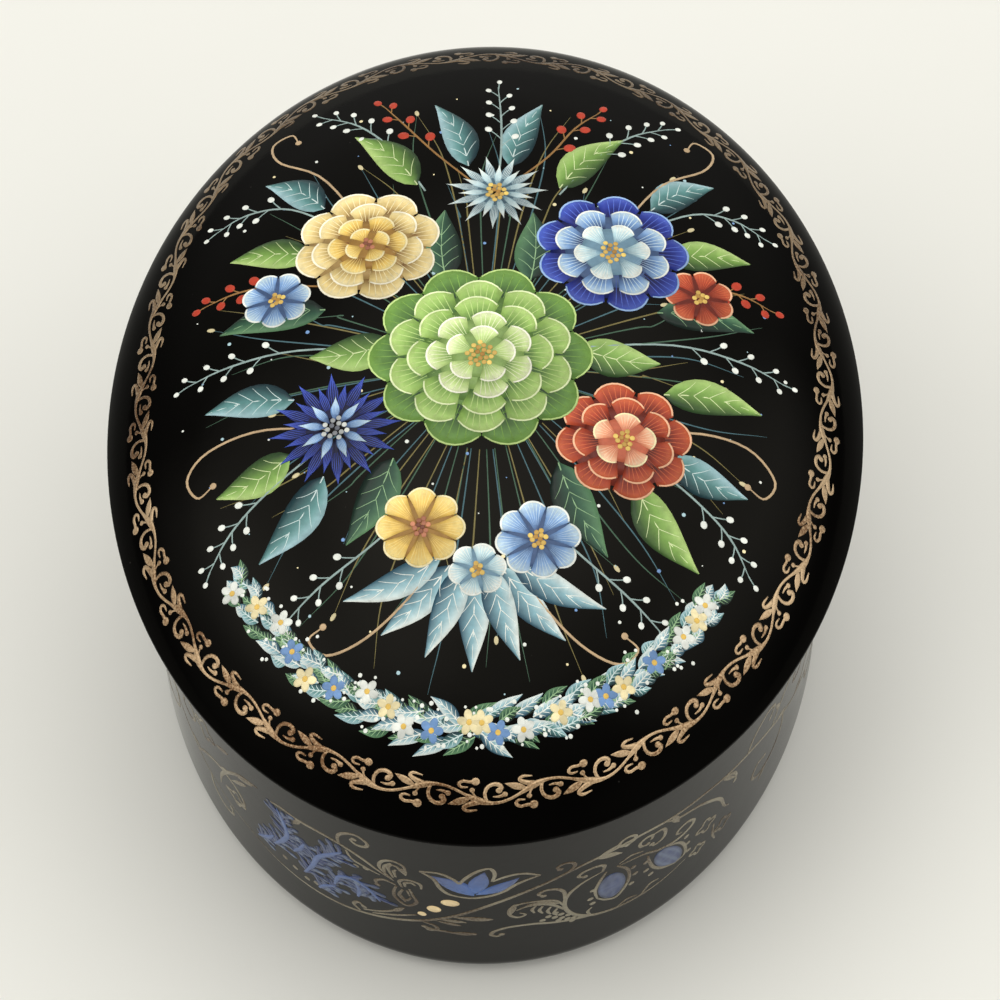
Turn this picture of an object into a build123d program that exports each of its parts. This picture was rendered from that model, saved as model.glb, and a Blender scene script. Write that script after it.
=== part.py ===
"""Oval lacquer box with a lift-off domed lid, built up from pasteboard pieces, in millimetres.

The box stands on Z = 0 with its long axis along Y. The body is a board, a wound wall and a wound
sleeve, whose neck stands above the wall and guides the lid. The lid is a pressed crown on a wound rim.
"""
import os
from build123d import *

os.makedirs("parts", exist_ok=True)

# Outline
lid_width = 90.0
lid_length = 108.0
overhang = 3.2  # how far the lid stands out past the wall, all the way round

# Body
base_thickness = 4.5
base_edge_radius = 4.0
wall_height = 42.5
wall_thickness = 2.4
floor_thickness = 1.6
sleeve_thickness = 1.6
neck_height = 4.0  # the sleeve above the wall's top edge
neck_edge_radius = 0.6

# Lid
rim_height = 1.2
rim_edge_radius = 0.6
crown_height = 14.8  # above the rim, on the outside
crown_thickness = 4.0  # at the middle of the lid
lining_thickness = 1.0

# Shape of the dome's curve: how far the flat of the top and the steep of the shoulder reach, and how far
# the shoulder leans in from its foot
flat_reach = 0.51
shoulder_reach = 0.54
shoulder_lean = 0.10

# Fits
glue_line = 0.05  # between curved faces that are glued
lid_clearance = 0.35  # between the neck and the lid's rim
neck_top_gap = 0.5  # between the neck's top and the lid's lining
least_land = 0.3  # the straight edge that a rounded edge leaves on its board

# Half sizes of the ovals, outermost first
lid_half = (lid_width / 2, lid_length / 2)


def inset(half, distance):
    """Half sizes of an oval that lies inside another one by the same distance all round."""
    return (half[0] - distance, half[1] - distance)


wall_half = inset(lid_half, overhang)
wall_inner_half = inset(wall_half, wall_thickness)
sleeve_half = inset(wall_inner_half, glue_line)
sleeve_inner_half = inset(sleeve_half, sleeve_thickness)
recess_half = inset(sleeve_half, -lid_clearance)
lining_half = inset(recess_half, glue_line)
lining_inner_half = inset(lining_half, lining_thickness)

# Levels, from the table up
floor_top = base_thickness + floor_thickness
wall_top = base_thickness + wall_height
neck_top = wall_top + neck_height
rim_top = wall_top + rim_height
hollow_foot = neck_top + neck_top_gap
crown_top = rim_top + crown_height
hollow_top = crown_top - crown_thickness
lining_top = hollow_top - glue_line


def dome(half, foot, top):
    """A dome on an oval foot: one curve, level at the top and steep at the foot, turned about Z
    and then stretched along Y until its round foot is the oval."""
    half_width, half_length = half
    rise = top - foot
    with BuildPart() as turned:
        with BuildSketch(Plane.XZ):
            with BuildLine():
                Bezier(
                    (0, top),
                    (flat_reach * half_width, top),
                    ((1 - shoulder_lean) * half_width, foot + shoulder_reach * rise),
                    (half_width, foot),
                )
                Line((half_width, foot), (0, foot))
                Line((0, foot), (0, top))
            make_face()
        revolve(axis=Axis.Z)
        scale(by=(1, half_length / half_width, 1))
    return turned.part


# Bottom board, with its lower edge rounded
with BuildPart() as base_board:
    with BuildSketch():
        Ellipse(*wall_half)
    extrude(amount=base_thickness)
    fillet(
        base_board.edges().group_by(Axis.Z)[0],
        radius=min(base_edge_radius, base_thickness - least_land),
    )

# Wound wall, glued on the board
with BuildPart() as body_wall:
    with BuildSketch(Plane.XY.offset(base_thickness)):
        Ellipse(*wall_half)
        Ellipse(*wall_inner_half, mode=Mode.SUBTRACT)
    extrude(amount=wall_height)

# Floor inside the wall, on the board
with BuildPart() as floor_board:
    with BuildSketch(Plane.XY.offset(base_thickness)):
        Ellipse(*sleeve_half)
    extrude(amount=floor_thickness)

# Wound sleeve on the floor, with its neck above the wall and both top edges rounded
with BuildPart() as neck_sleeve:
    with BuildSketch(Plane.XY.offset(floor_top)):
        Ellipse(*sleeve_half)
        Ellipse(*sleeve_inner_half, mode=Mode.SUBTRACT)
    extrude(amount=neck_top - floor_top)
    fillet(
        neck_sleeve.edges().group_by(Axis.Z)[-1],
        radius=min(neck_edge_radius, (sleeve_thickness - least_land) / 2),
    )

# Wound rim of the lid, which sits on the wall round the neck
with BuildPart() as lid_rim:
    with BuildSketch(Plane.XY.offset(wall_top)):
        Ellipse(*lid_half)
        Ellipse(*recess_half, mode=Mode.SUBTRACT)
    extrude(amount=rim_height)
    fillet(
        lid_rim.edges().group_by(Axis.Z)[0].sort_by(SortBy.LENGTH)[-1],
        radius=min(rim_edge_radius, rim_height - least_land),
    )

# Domed crown on the rim, hollow underneath, with a straight recess for the neck
crown_form = dome(lid_half, rim_top, crown_top)
hollow_form = dome(recess_half, hollow_foot, hollow_top)
with BuildPart() as lid_crown:
    add(crown_form)
    add(hollow_form, mode=Mode.SUBTRACT)
    with BuildSketch(Plane.XY.offset(rim_top)):
        Ellipse(*recess_half)
    extrude(amount=hollow_foot - rim_top, mode=Mode.SUBTRACT)

# Pressed lining, glued into the crown's hollow
lining_form = dome(lining_half, hollow_foot, lining_top)
lining_hollow_form = dome(lining_inner_half, hollow_foot, lining_top - lining_thickness)
with BuildPart() as lid_lining:
    add(lining_form)
    add(lining_hollow_form, mode=Mode.SUBTRACT)

base_board.part.label = "base_board"
export_step(base_board.part, "parts/base_board.step")

body_wall.part.label = "body_wall"
export_step(body_wall.part, "parts/body_wall.step")

floor_board.part.label = "floor_board"
export_step(floor_board.part, "parts/floor_board.step")

neck_sleeve.part.label = "neck_sleeve"
export_step(neck_sleeve.part, "parts/neck_sleeve.step")

lid_rim.part.label = "lid_rim"
export_step(lid_rim.part, "parts/lid_rim.step")

lid_crown.part.label = "lid_crown"
export_step(lid_crown.part, "parts/lid_crown.step")

lid_lining.part.label = "lid_lining"
export_step(lid_lining.part, "parts/lid_lining.step")
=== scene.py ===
"""Looks of an oval lacquer box: polished black lacquer, a gold vine round the lid and scrolls on the
wall.

Every painted mark is a thin closed film of paint. A mark is drawn flat, as a grid of points on a
sheet in millimetres, and the sheet is then laid on the lid, along the lid's shoulder or round the
wall.
"""
import math
import bpy
import numpy as np
from mathutils import Matrix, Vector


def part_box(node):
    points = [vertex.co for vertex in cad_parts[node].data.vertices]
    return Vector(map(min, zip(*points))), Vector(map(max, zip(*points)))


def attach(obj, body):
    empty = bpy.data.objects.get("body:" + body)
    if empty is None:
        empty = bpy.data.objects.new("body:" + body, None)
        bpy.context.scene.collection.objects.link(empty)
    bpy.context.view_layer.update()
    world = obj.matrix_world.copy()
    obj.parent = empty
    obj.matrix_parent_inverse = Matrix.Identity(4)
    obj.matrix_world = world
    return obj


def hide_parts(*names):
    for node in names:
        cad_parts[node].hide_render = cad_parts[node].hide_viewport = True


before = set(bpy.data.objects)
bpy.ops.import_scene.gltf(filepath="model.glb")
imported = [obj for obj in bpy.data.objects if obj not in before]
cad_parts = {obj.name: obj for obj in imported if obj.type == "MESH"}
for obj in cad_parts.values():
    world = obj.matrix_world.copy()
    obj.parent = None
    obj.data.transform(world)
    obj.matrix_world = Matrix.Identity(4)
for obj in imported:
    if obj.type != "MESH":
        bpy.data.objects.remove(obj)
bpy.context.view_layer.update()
MM = 0.001

# Sizes of the lid, in millimetres, from the frame
lid_half = np.array(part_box("lid_crown")[1][:2]) / MM
rim_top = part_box("lid_crown")[0].z / MM
crown_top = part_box("lid_crown")[1].z / MM
rim_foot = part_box("lid_rim")[0].z / MM
lining_half = np.array(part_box("lid_lining")[1][:2]) / MM
hollow_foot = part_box("lid_lining")[0].z / MM
hollow_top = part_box("lid_lining")[1].z / MM
RIM_EDGE = 0.6
FLAT_REACH = 0.51
SHOULDER_REACH = 0.54
SHOULDER_LEAN = 0.10
GLUE_LINE = 0.05

# Sizes of the body
wall_half = np.array(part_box("body_wall")[1][:2]) / MM
wall_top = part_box("body_wall")[1].z / MM
base_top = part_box("base_board")[1].z / MM
sleeve_half = np.array(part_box("neck_sleeve")[1][:2]) / MM
BASE_EDGE = 4.0
WALL_EDGE = 0.3

# Paint film, in millimetres
PAINT_EDGE = 0.01
PAINT_RIDGE = 0.018
PAINT_SINK = 0.03
CELL_MARGIN = 0.1  # as a share of a mark's cell on the map


def dome_curve(steps=1200):
    """The crown's profile: one cubic curve, level at the top and steep at the rim, as shares of the
    half width and of the rise."""
    t = np.linspace(0, 1, steps)
    out = 3 * (1 - t) ** 2 * t * FLAT_REACH + 3 * (1 - t) * t**2 * (1 - SHOULDER_LEAN) + t**3
    rise = (1 - t) ** 3 + 3 * (1 - t) ** 2 * t + 3 * (1 - t) * t**2 * SHOULDER_REACH
    return out, rise


DOME = dome_curve()


def lay_on_lid(x, y, lift):
    """Plan coordinates to the crown: the height follows the dome curve at the share of the oval
    reached."""
    share = np.hypot(x / lid_half[0], y / lid_half[1])
    height = rim_top + (crown_top - rim_top) * np.interp(share, *DOME)
    return np.stack([x, y, height + lift], -1) * MM


def oval_length(half, steps=6001):
    """Angle and running length round an oval, starting at its near end and going towards +X."""
    angle = np.linspace(-np.pi / 2, 1.5 * np.pi, steps)
    x, y = half[0] * np.cos(angle), half[1] * np.sin(angle)
    run = np.concatenate([[0], np.cumsum(np.hypot(np.diff(x), np.diff(y)))])
    return angle, run


BORDER_INSET = 4.6
BORDER_LEAN = 0.8
BORDER_ANGLE, BORDER_RUN = oval_length(lid_half - BORDER_INSET)


def sway(turn, middle, terms):
    """A slow swing on the way round: a middle value, and a sine and a cosine for each number of
    turns."""
    waves = [a * np.sin(k * turn) + b * np.cos(k * turn) for k, (a, b) in enumerate(terms, 1)]
    return middle + sum(waves)


# Stray of the vine by hand: a middle value, then a sine and a cosine for each number of turns
ALONG_STRAY = (2.5, [(2.15, 0.7), (0.7, -0.45), (0.15, 0.15)])
ACROSS_STRAY = (-0.8, [(0.4, 0.5), (0.15, -0.15), (0.15, -0.15), (-0.15, 0.55), (-0.15, -0.25)])


def lay_on_shoulder(along, across, lift):
    """A strip along the lid's shoulder: along runs round the oval, across runs inwards up the slope.
    The strip strays a little both ways, by a few sines of the way round, as work by hand does."""
    length = BORDER_RUN[-1]
    along = along + sway(2 * np.pi * along / length, *ALONG_STRAY)
    across = across + sway(2 * np.pi * along / length, *ACROSS_STRAY)
    angle = np.interp(along % length, BORDER_RUN, BORDER_ANGLE)
    inset = BORDER_INSET + across * BORDER_LEAN
    x, y = (lid_half[0] - inset) * np.cos(angle), (lid_half[1] - inset) * np.sin(angle)
    return lay_on_lid(x, y, lift)


WALL_ANGLE, WALL_RUN = oval_length(wall_half)


def lay_on_wall(along, height, lift):
    """A strip round the wall: along runs round the oval from the near end, and lift goes out square
    to the wall."""
    angle = np.interp(along % WALL_RUN[-1], WALL_RUN, WALL_ANGLE)
    x, y = wall_half[0] * np.cos(angle), wall_half[1] * np.sin(angle)
    out = np.stack([np.cos(angle) / wall_half[0], np.sin(angle) / wall_half[1]], -1)
    out /= np.linalg.norm(out, axis=-1, keepdims=True)
    return np.stack([x + lift * out[..., 0], y + lift * out[..., 1], height + 0 * lift], -1) * MM


def smooth_line(points, widths, steps):
    """A brush line: a curve through the points by the Catmull-Rom rule, and a half width that goes
    evenly from one point's width to the next."""
    p = np.asarray(points, float)
    knots = np.linspace(0, len(p) - 1, steps)
    i = np.clip(knots.astype(int), 0, len(p) - 2)
    t = (knots - i)[:, None]
    q = np.concatenate([[2 * p[0] - p[1]], p, [2 * p[-1] - p[-2]]])
    a, b, c, d = q[i], q[i + 1], q[i + 2], q[i + 3]
    second = 2 * a - 5 * b + 4 * c - d
    third = 3 * b - a - 3 * c + d
    line = 0.5 * (2 * b + (c - a) * t + second * t**2 + third * t**3)
    return line, np.interp(knots, np.arange(len(p)), widths) / 2


def square(low, rows, cols):
    """Two grids of numbers from low to 1: one changes from row to row, the other from column to
    column."""
    return np.meshgrid(np.linspace(low, 1, rows), np.linspace(low, 1, cols), indexing="ij")


def unit(turn):
    """The direction at an angle from +X, in plan."""
    return np.array([math.cos(turn), math.sin(turn)])


def ribbon(line, half, tangent):
    """A stroke as a grid of three columns: left edge, ridge and right edge, square to its line."""
    tangent = tangent / np.linalg.norm(tangent, axis=1, keepdims=True)
    side = np.stack([-tangent[:, 1], tangent[:, 0]], 1) * half[:, None]
    grid = line[:, None] + side[:, None] * np.array([1, 0, -1])[None, :, None]
    return grid, np.tile([PAINT_EDGE, PAINT_RIDGE, PAINT_EDGE], (len(line), 1))


def brush_grid(points, widths, steps=12):
    """A brush stroke along a smooth line, with both its ends low."""
    line, half = smooth_line(points, widths, steps)
    grid, lift = ribbon(line, half, np.gradient(line, axis=0))
    lift[[0, -1]] = PAINT_EDGE
    return grid, lift


def dab_grid(centre, radii, turn=0.0, steps=5):
    """A dab as a square grid rounded into an oval, highest in the middle. One radius makes it
    round."""
    wide, high = np.broadcast_to(radii, 2)
    a, c = square(-1, steps, steps)
    x = a * np.sqrt(1 - c**2 / 2) * wide
    y = c * np.sqrt(1 - a**2 / 2) * high
    far = np.clip(a**2 + c**2 - (a * c) ** 2, 0, 1)
    cos, sin = unit(turn)
    grid = np.stack([centre[0] + x * cos - y * sin, centre[1] + x * sin + y * cos], -1)
    return grid, PAINT_EDGE + (PAINT_RIDGE - PAINT_EDGE) * (1 - far)


def leaf_place(base, tip, width, bend, fullness, share, side):
    """Places on a leaf that is pointed at both ends, widest where fullness puts it and bowed by bend:
    share goes from base to tip, and side from -1 at one edge to 1 at the other."""
    base, tip = np.asarray(base, float), np.asarray(tip, float)
    reach = tip - base
    across = np.array([-reach[1], reach[0]]) / np.linalg.norm(reach)
    half = np.maximum(np.sin(np.pi * share**fullness), 0.03) * width / 2
    bow = np.sin(np.pi * share) * bend
    return base + share[..., None] * reach + (bow + half * side)[..., None] * across


def leaf_grid(base, tip, width, bend=0.0, fullness=0.75, rows=9, cols=5):
    """A leaf as a grid, highest along its middle."""
    a, c = np.meshgrid(np.linspace(0, 1, rows), np.linspace(-1, 1, cols), indexing="ij")
    lift = PAINT_EDGE + (PAINT_RIDGE - PAINT_EDGE) * (1 - c**2) * np.sin(np.pi * a) ** 0.5
    return leaf_place(base, tip, width, bend, fullness, a, c), lift


def film(place, grid, lift, colour):
    """Closed films of paint for a stack of like marks: each grid is laid on its surface at its lift,
    a copy lies just under the surface, and a strip joins their edges. Faces are turned to point
    outwards."""
    count, rows, cols = grid.shape[:3]
    size = rows * cols
    sunk = np.full_like(lift, -PAINT_SINK)
    sheets = [place(grid[..., 0], grid[..., 1], rise) for rise in (lift, sunk)]
    points = np.concatenate([sheet.reshape(count, size, 3) for sheet in sheets], 1)
    index = np.arange(size).reshape(rows, cols)
    face = np.stack([index[:-1, :-1], index[1:, :-1], index[1:, 1:], index[:-1, 1:]], -1).reshape(-1, 4)
    edge = np.concatenate([index[0, :-1], index[:-1, -1], index[-1, :0:-1], index[:0:-1, 0]])
    after = np.roll(edge, -1)
    strip = np.stack([edge, after, after + size, edge + size], -1)
    faces = np.concatenate([face, face[:, ::-1] + size, strip])
    quads = points[:, faces] - points.mean(1)[:, None, None]
    first, second, third, fourth = np.moveaxis(quads, 2, 0)
    volume = np.einsum("mfi,mfi->m", first, np.cross(second, third) + np.cross(third, fourth))
    turned = np.where(volume[:, None, None] < 0, faces[None, :, ::-1], faces[None])
    colour = np.broadcast_to(colour, (count, rows, cols, 3)).reshape(count, size, 3)
    down, across = square(0, rows, cols)
    cell = np.stack([across, down], -1).reshape(size, 2)
    return {
        "points": points,
        "faces": turned,
        "smooth": np.tile(np.arange(len(faces)) < len(face), count),
        "colour": np.tile(colour, (1, 2, 1)),
        "cell": np.tile(cell, (count, 2, 1)),
    }


def add_mesh(name, points, faces, smooth):
    """A mesh object at the origin from points and from arrays of four-sided and three-sided faces."""
    mesh = bpy.data.meshes.new(name)
    corners = np.concatenate([f.ravel() for f in faces])
    sizes = np.concatenate([np.full(len(f), f.shape[1]) for f in faces])
    mesh.vertices.add(len(points))
    mesh.vertices.foreach_set("co", np.ascontiguousarray(points, np.float32).ravel())
    mesh.loops.add(len(corners))
    mesh.loops.foreach_set("vertex_index", corners.astype(np.int32))
    mesh.polygons.add(len(sizes))
    mesh.polygons.foreach_set("loop_start", (np.cumsum(sizes) - sizes).astype(np.int32))
    mesh.polygons.foreach_set("use_smooth", smooth)
    mesh.update(calc_edges=True)
    piece = bpy.data.objects.new(name, mesh)
    bpy.context.scene.collection.objects.link(piece)
    return piece


def add_paint(name, films, body, finish):
    """One piece of paint from several stacks of films, with each mark's colours, and with a map on
    which each mark has a square cell of its own."""
    counts = [len(f["points"]) for f in films]
    sizes = np.repeat([f["points"].shape[1] for f in films], counts)
    starts = np.split(np.cumsum(sizes) - sizes, np.cumsum(counts)[:-1])
    faces = [(f["faces"] + start[:, None, None]).reshape(-1, 4) for f, start in zip(films, starts)]

    def joined(key, width):
        return np.concatenate([f[key].reshape(-1, width) for f in films])

    piece = add_mesh(name, joined("points", 3), faces, joined("smooth", 1).ravel())
    mesh = piece.data
    layer = mesh.color_attributes.new("paint", "FLOAT_COLOR", "POINT")
    colour = np.insert(joined("colour", 3), 3, 1, axis=1)
    layer.data.foreach_set("color", colour.astype(np.float32).ravel())
    marks = np.repeat(np.arange(len(sizes)), sizes)
    across = math.ceil(math.sqrt(len(sizes)))
    corner = np.stack([marks % across, marks // across], 1)
    places = (corner + CELL_MARGIN + (1 - 2 * CELL_MARGIN) * joined("cell", 2)) / across
    chart = mesh.uv_layers.new(name="OFBake")
    chart.uv.foreach_set("vector", places[np.concatenate(faces).ravel()].astype(np.float32).ravel())
    mesh.materials.append(finish)
    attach(piece, body)


def lathe(name, section, segments=288):
    """A closed shell on oval rings: each point of the section gives a ring's two half sizes and
    height, and the first and last points are poles on the axis."""
    section = np.asarray(section, float)
    angle = np.linspace(0, 2 * np.pi, segments, endpoint=False)
    rings = section[1:-1]
    x = rings[:, None, 0] * np.cos(angle)
    y = rings[:, None, 1] * np.sin(angle)
    z = np.broadcast_to(rings[:, None, 2], x.shape)
    poles = [[0, 0, section[0, 2]], [0, 0, section[-1, 2]]]
    points = np.concatenate([np.stack([x, y, z], -1).reshape(-1, 3), poles])
    index = np.arange(len(rings) * segments).reshape(len(rings), segments)
    after = np.roll(index, -1, axis=1)
    quads = np.stack([index[:-1], after[:-1], after[1:], index[1:]], -1).reshape(-1, 4)
    start = np.stack([np.full(segments, index.size), after[0], index[0]], -1)
    end = np.stack([np.full(segments, index.size + 1), index[-1], after[-1]], -1)
    fans = np.concatenate([start, end])
    return add_mesh(name, points * MM, [quads, fans], np.ones(len(quads) + len(fans), bool))


def flat_run(start, end, rows):
    """Rings spread evenly from one ring to another, without the last."""
    t = np.linspace(0, 1, rows, endpoint=False)[:, None]
    return np.asarray(start, float) * (1 - t) + np.asarray(end, float) * t


def round_edge(half, height, radius, start, end, rows):
    """Rings of a rounded edge: a quarter turn about a circle that lies inside the oval by its
    radius."""
    t = np.radians(np.linspace(start, end, rows))
    inset = radius * (1 - np.cos(t))
    return np.stack([half[0] - inset, half[1] - inset, height + radius * np.sin(t)], 1)


def dome_rings(half, foot, top, rows):
    """Rings of a dome from its foot to its pole, closer together where the curve is steep."""
    share = 1 - np.linspace(0, 1, rows) ** 1.4
    out, rise = DOME
    pick = share * (len(out) - 1)
    at = np.arange(len(out))
    reach, height = np.interp(pick, at, out), np.interp(pick, at, rise)
    return np.stack([half[0] * reach, half[1] * reach, foot + (top - foot) * height], 1)


def tone(red, green, blue):
    """A colour from screen values of 0 to 255."""
    value = np.array([red, green, blue]) / 255
    return np.where(value <= 0.04045, value / 12.92, ((value + 0.055) / 1.055) ** 2.4)


def blend(one, two, share):
    """Colours between two, by a share that may be an array."""
    share = np.asarray(share, float)[..., None]
    return one * (1 - share) + two * share


def blend_three(tones, share, middle=0.5):
    """Colours from a first tone through a second, which is reached at the middle share, to a
    third."""
    low = blend(tones[0], tones[1], share / middle)
    high = blend(tones[1], tones[2], (share - middle) / (1 - middle))
    return np.where(share[..., None] < middle, low, high)


GOLD_TONE = tone(192, 165, 129)
# The wall's gold is the lid's gold made darker and greyer: painted shade under the lid's overhang and a
# painted reflection of the pale floor
WALL_GOLD_PAINTED_SHADE_AND_HAZE = tone(132, 125, 107)
WALL_DEEP_BLUE = tone(50, 63, 108)
WALL_BLUE = tone(80, 104, 160)
WALL_PALE_BLUE = tone(108, 121, 144)
WALL_DULL_BLUE = tone(48, 57, 80)
WALL_GREY_BLUE = tone(82, 93, 122)
TULIP_BLUE = tone(66, 106, 176)
TULIP_TIP = tone(80, 92, 130)
ULTRAMARINE = tone(84, 108, 205)
ULTRAMARINE_DEEP = tone(30, 44, 138)
DOT_CREAM = tone(240, 214, 164)


# Materials

# Sockets of a node that mixes two colours
FIRST_COLOUR = 6
SECOND_COLOUR = 7
MIXED_COLOUR = 2


def new_finish(name):
    """An empty material with its shader, and three calls: add makes a node, which reads places on the
    object; wire joins two nodes; grade joins them by a ramp of places and grey levels or colours."""
    finish = bpy.data.materials.new(name)
    finish.use_nodes = True
    nodes = finish.node_tree.nodes
    coords = nodes.new("ShaderNodeTexCoord")

    def wire(source, output, target, socket):
        finish.node_tree.links.new(source.outputs[output], target.inputs[socket])

    def add(kind, **values):
        node = nodes.new(kind)
        for key, value in values.items():
            if key in node.inputs:
                node.inputs[key].default_value = value
            else:
                setattr(node, key, value)
        if "Vector" in node.inputs:
            wire(coords, "Object", node, "Vector")
        return node

    def grade(source, output, stops, target, socket):
        node = nodes.new("ShaderNodeValToRGB")
        while len(node.color_ramp.elements) < len(stops):
            node.color_ramp.elements.new(0.5)
        for element, (place, value) in zip(node.color_ramp.elements, stops):
            element.position = place
            element.color = (*np.broadcast_to(value, 3), 1)
        wire(source, output, node, "Fac")
        wire(node, "Color", target, socket)

    return finish, nodes["Principled BSDF"], add, wire, grade


def set_up(shader, **values):
    """Gives a shader's sockets their values; an underscore stands for a space in a socket's name."""
    for socket, value in values.items():
        shader.inputs[socket.replace("_", " ")].default_value = value


def own_colour(shader, add, wire):
    """A node that gives a paint each mark's own colour, times a shade still to be joined to it."""
    own = add("ShaderNodeAttribute", attribute_name="paint")
    mix = add("ShaderNodeMix", data_type="RGBA", blend_type="MULTIPLY", Factor=1.0)
    wire(own, "Color", mix, FIRST_COLOUR)
    wire(mix, MIXED_COLOUR, shader, "Base Color")
    return mix


# Heights above the rim's top where the dulled edge of the lid ends and where the full shine starts
DULL_RISE = 3.5
FULL_RISE = 8.0
SHINE = 0.075
EDGE_SHINE = 0.012


def black_lacquer():
    """Polished black lacquer: nearly mirror smooth, with faint rubbing haze, orange peel and dust
    specks. The lid's edge shines less, up to the height of the vine, from being held there."""
    finish, shader, add, wire, grade = new_finish("black_lacquer")
    haze = add("ShaderNodeTexNoise", Scale=38.0, Detail=5.0, Roughness=0.62)
    grade(haze, "Fac", [(0.35, 0.075), (0.72, 0.17)], shader, "Roughness")
    specks = add("ShaderNodeTexVoronoi", Scale=260.0)
    stops = [(0.0, (0.03, 0.028, 0.025)), (0.035, (0.0011, 0.001, 0.0009))]
    grade(specks, "Distance", stops, shader, "Base Color")
    peel = add("ShaderNodeTexNoise", Scale=420.0, Detail=2.0)
    bump = add("ShaderNodeBump", Strength=0.025, Distance=0.0004)
    wire(peel, "Fac", bump, "Height")
    wire(bump, "Normal", shader, "Normal")
    split = add("ShaderNodeSeparateXYZ")
    share = add("ShaderNodeMath", operation="DIVIDE")
    share.inputs[1].default_value = crown_top * MM
    wire(split, "Z", share, 0)
    seam, dull, full = np.array([wall_top, rim_top + DULL_RISE, rim_top + FULL_RISE]) / crown_top
    stops = [(seam - 0.001, SHINE), (seam, EDGE_SHINE), (dull, EDGE_SHINE), (full, SHINE)]
    grade(share, "Value", stops, shader, "Specular IOR Level")
    set_up(shader, Specular_IOR_Level=SHINE, Specular_Tint=(1.0, 0.95, 0.82, 1))
    return finish


def red_lacquer():
    """Red lacquer inside: brushed on, so its depth is uneven and it shines a little less."""
    finish, shader, add, wire, grade = new_finish("red_lacquer")
    cloud = add("ShaderNodeTexNoise", Scale=55.0, Detail=6.0, Roughness=0.6)
    stops = [(0.3, (0.19, 0.006, 0.004)), (0.7, (0.33, 0.014, 0.008))]
    grade(cloud, "Fac", stops, shader, "Base Color")
    grade(cloud, "Fac", [(0.3, 0.16), (0.7, 0.3)], shader, "Roughness")
    bump = add("ShaderNodeBump", Strength=0.06, Distance=0.0005)
    wire(cloud, "Fac", bump, "Height")
    wire(bump, "Normal", shader, "Normal")
    return finish


def gold_paint():
    """Powdered gold in varnish: grainy, part metal, worn thin in spots, in each mark's own shade of
    gold."""
    finish, shader, add, wire, grade = new_finish("gold_paint")
    grain = add("ShaderNodeTexNoise", Scale=4200.0, Detail=2.0, Roughness=0.6)
    drift = add("ShaderNodeTexNoise", Scale=110.0, Detail=2.0)
    both = add("ShaderNodeMath", operation="MULTIPLY_ADD")
    both.inputs[1].default_value = 0.7
    wire(grain, "Fac", both, 0)
    wire(drift, "Fac", both, 2)
    stops = [(0.66, (0.36, 0.25, 0.17)), (0.82, (0.9, 0.85, 0.81)), (1.0, (1.25, 1.27, 1.3))]
    grade(both, "Value", stops, own_colour(shader, add, wire), SECOND_COLOUR)
    set_up(shader, Metallic=0.85, Roughness=0.5, Coat_Weight=0.25, Coat_Roughness=0.15)
    return finish


def colour_paint():
    """Tempera under varnish: each mark's own colour, a little uneven, as pigment is."""
    finish, shader, add, wire, grade = new_finish("colour_paint")
    cloud = add("ShaderNodeTexNoise", Scale=650.0, Detail=4.0, Roughness=0.65)
    grade(cloud, "Fac", [(0.3, 0.78), (0.7, 1.12)], own_colour(shader, add, wire), SECOND_COLOUR)
    set_up(shader, Roughness=0.34, Specular_IOR_Level=0.25)
    return finish


BLACK = black_lacquer()
RED = red_lacquer()
GOLD = gold_paint()
COLOUR = colour_paint()


# Lacquered shells

RECESS_FLARE = 0.1


def lid_shell():
    """Outside of the lid: rounded rim, dome, and the recess that takes the neck, which flares a
    little."""
    recess = lining_half + GLUE_LINE
    mouth = recess + RECESS_FLARE
    section = np.concatenate(
        [
            dome_rings(recess, hollow_foot, hollow_top + GLUE_LINE, rows=24)[::-1][:-1],
            flat_run((*recess, hollow_foot), (*mouth, rim_foot), rows=6),
            flat_run((*mouth, rim_foot), (*(lid_half - RIM_EDGE), rim_foot), rows=6),
            round_edge(lid_half, rim_foot + RIM_EDGE, RIM_EDGE, -90, 0, rows=13),
            dome_rings(lid_half, rim_top, crown_top, rows=72),
        ]
    )
    piece = lathe("lid_shell", section)
    piece.data.materials.append(BLACK)
    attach(piece, "lid")
    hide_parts("lid_crown", "lid_rim")


def body_shell():
    """Outside of the body: flat underside, rounded lower edge, upright wall and its top edge."""
    inner = sleeve_half + GLUE_LINE
    section = np.concatenate(
        [
            flat_run((0, 0, 0), (*(wall_half - BASE_EDGE), 0), rows=8),
            round_edge(wall_half, BASE_EDGE, BASE_EDGE, -90, 0, rows=17),
            flat_run((*wall_half, base_top), (*wall_half, wall_top - WALL_EDGE), rows=12),
            round_edge(wall_half, wall_top - WALL_EDGE, WALL_EDGE, 0, 90, rows=7),
            flat_run((*inner, wall_top), (*inner, base_top), rows=6),
            flat_run((*inner, base_top), (0, 0, base_top), rows=6),
            [[0, 0, base_top]],
        ]
    )
    piece = lathe("body_shell", section)
    piece.data.materials.append(BLACK)
    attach(piece, "body")
    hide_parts("body_wall", "base_board")


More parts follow.
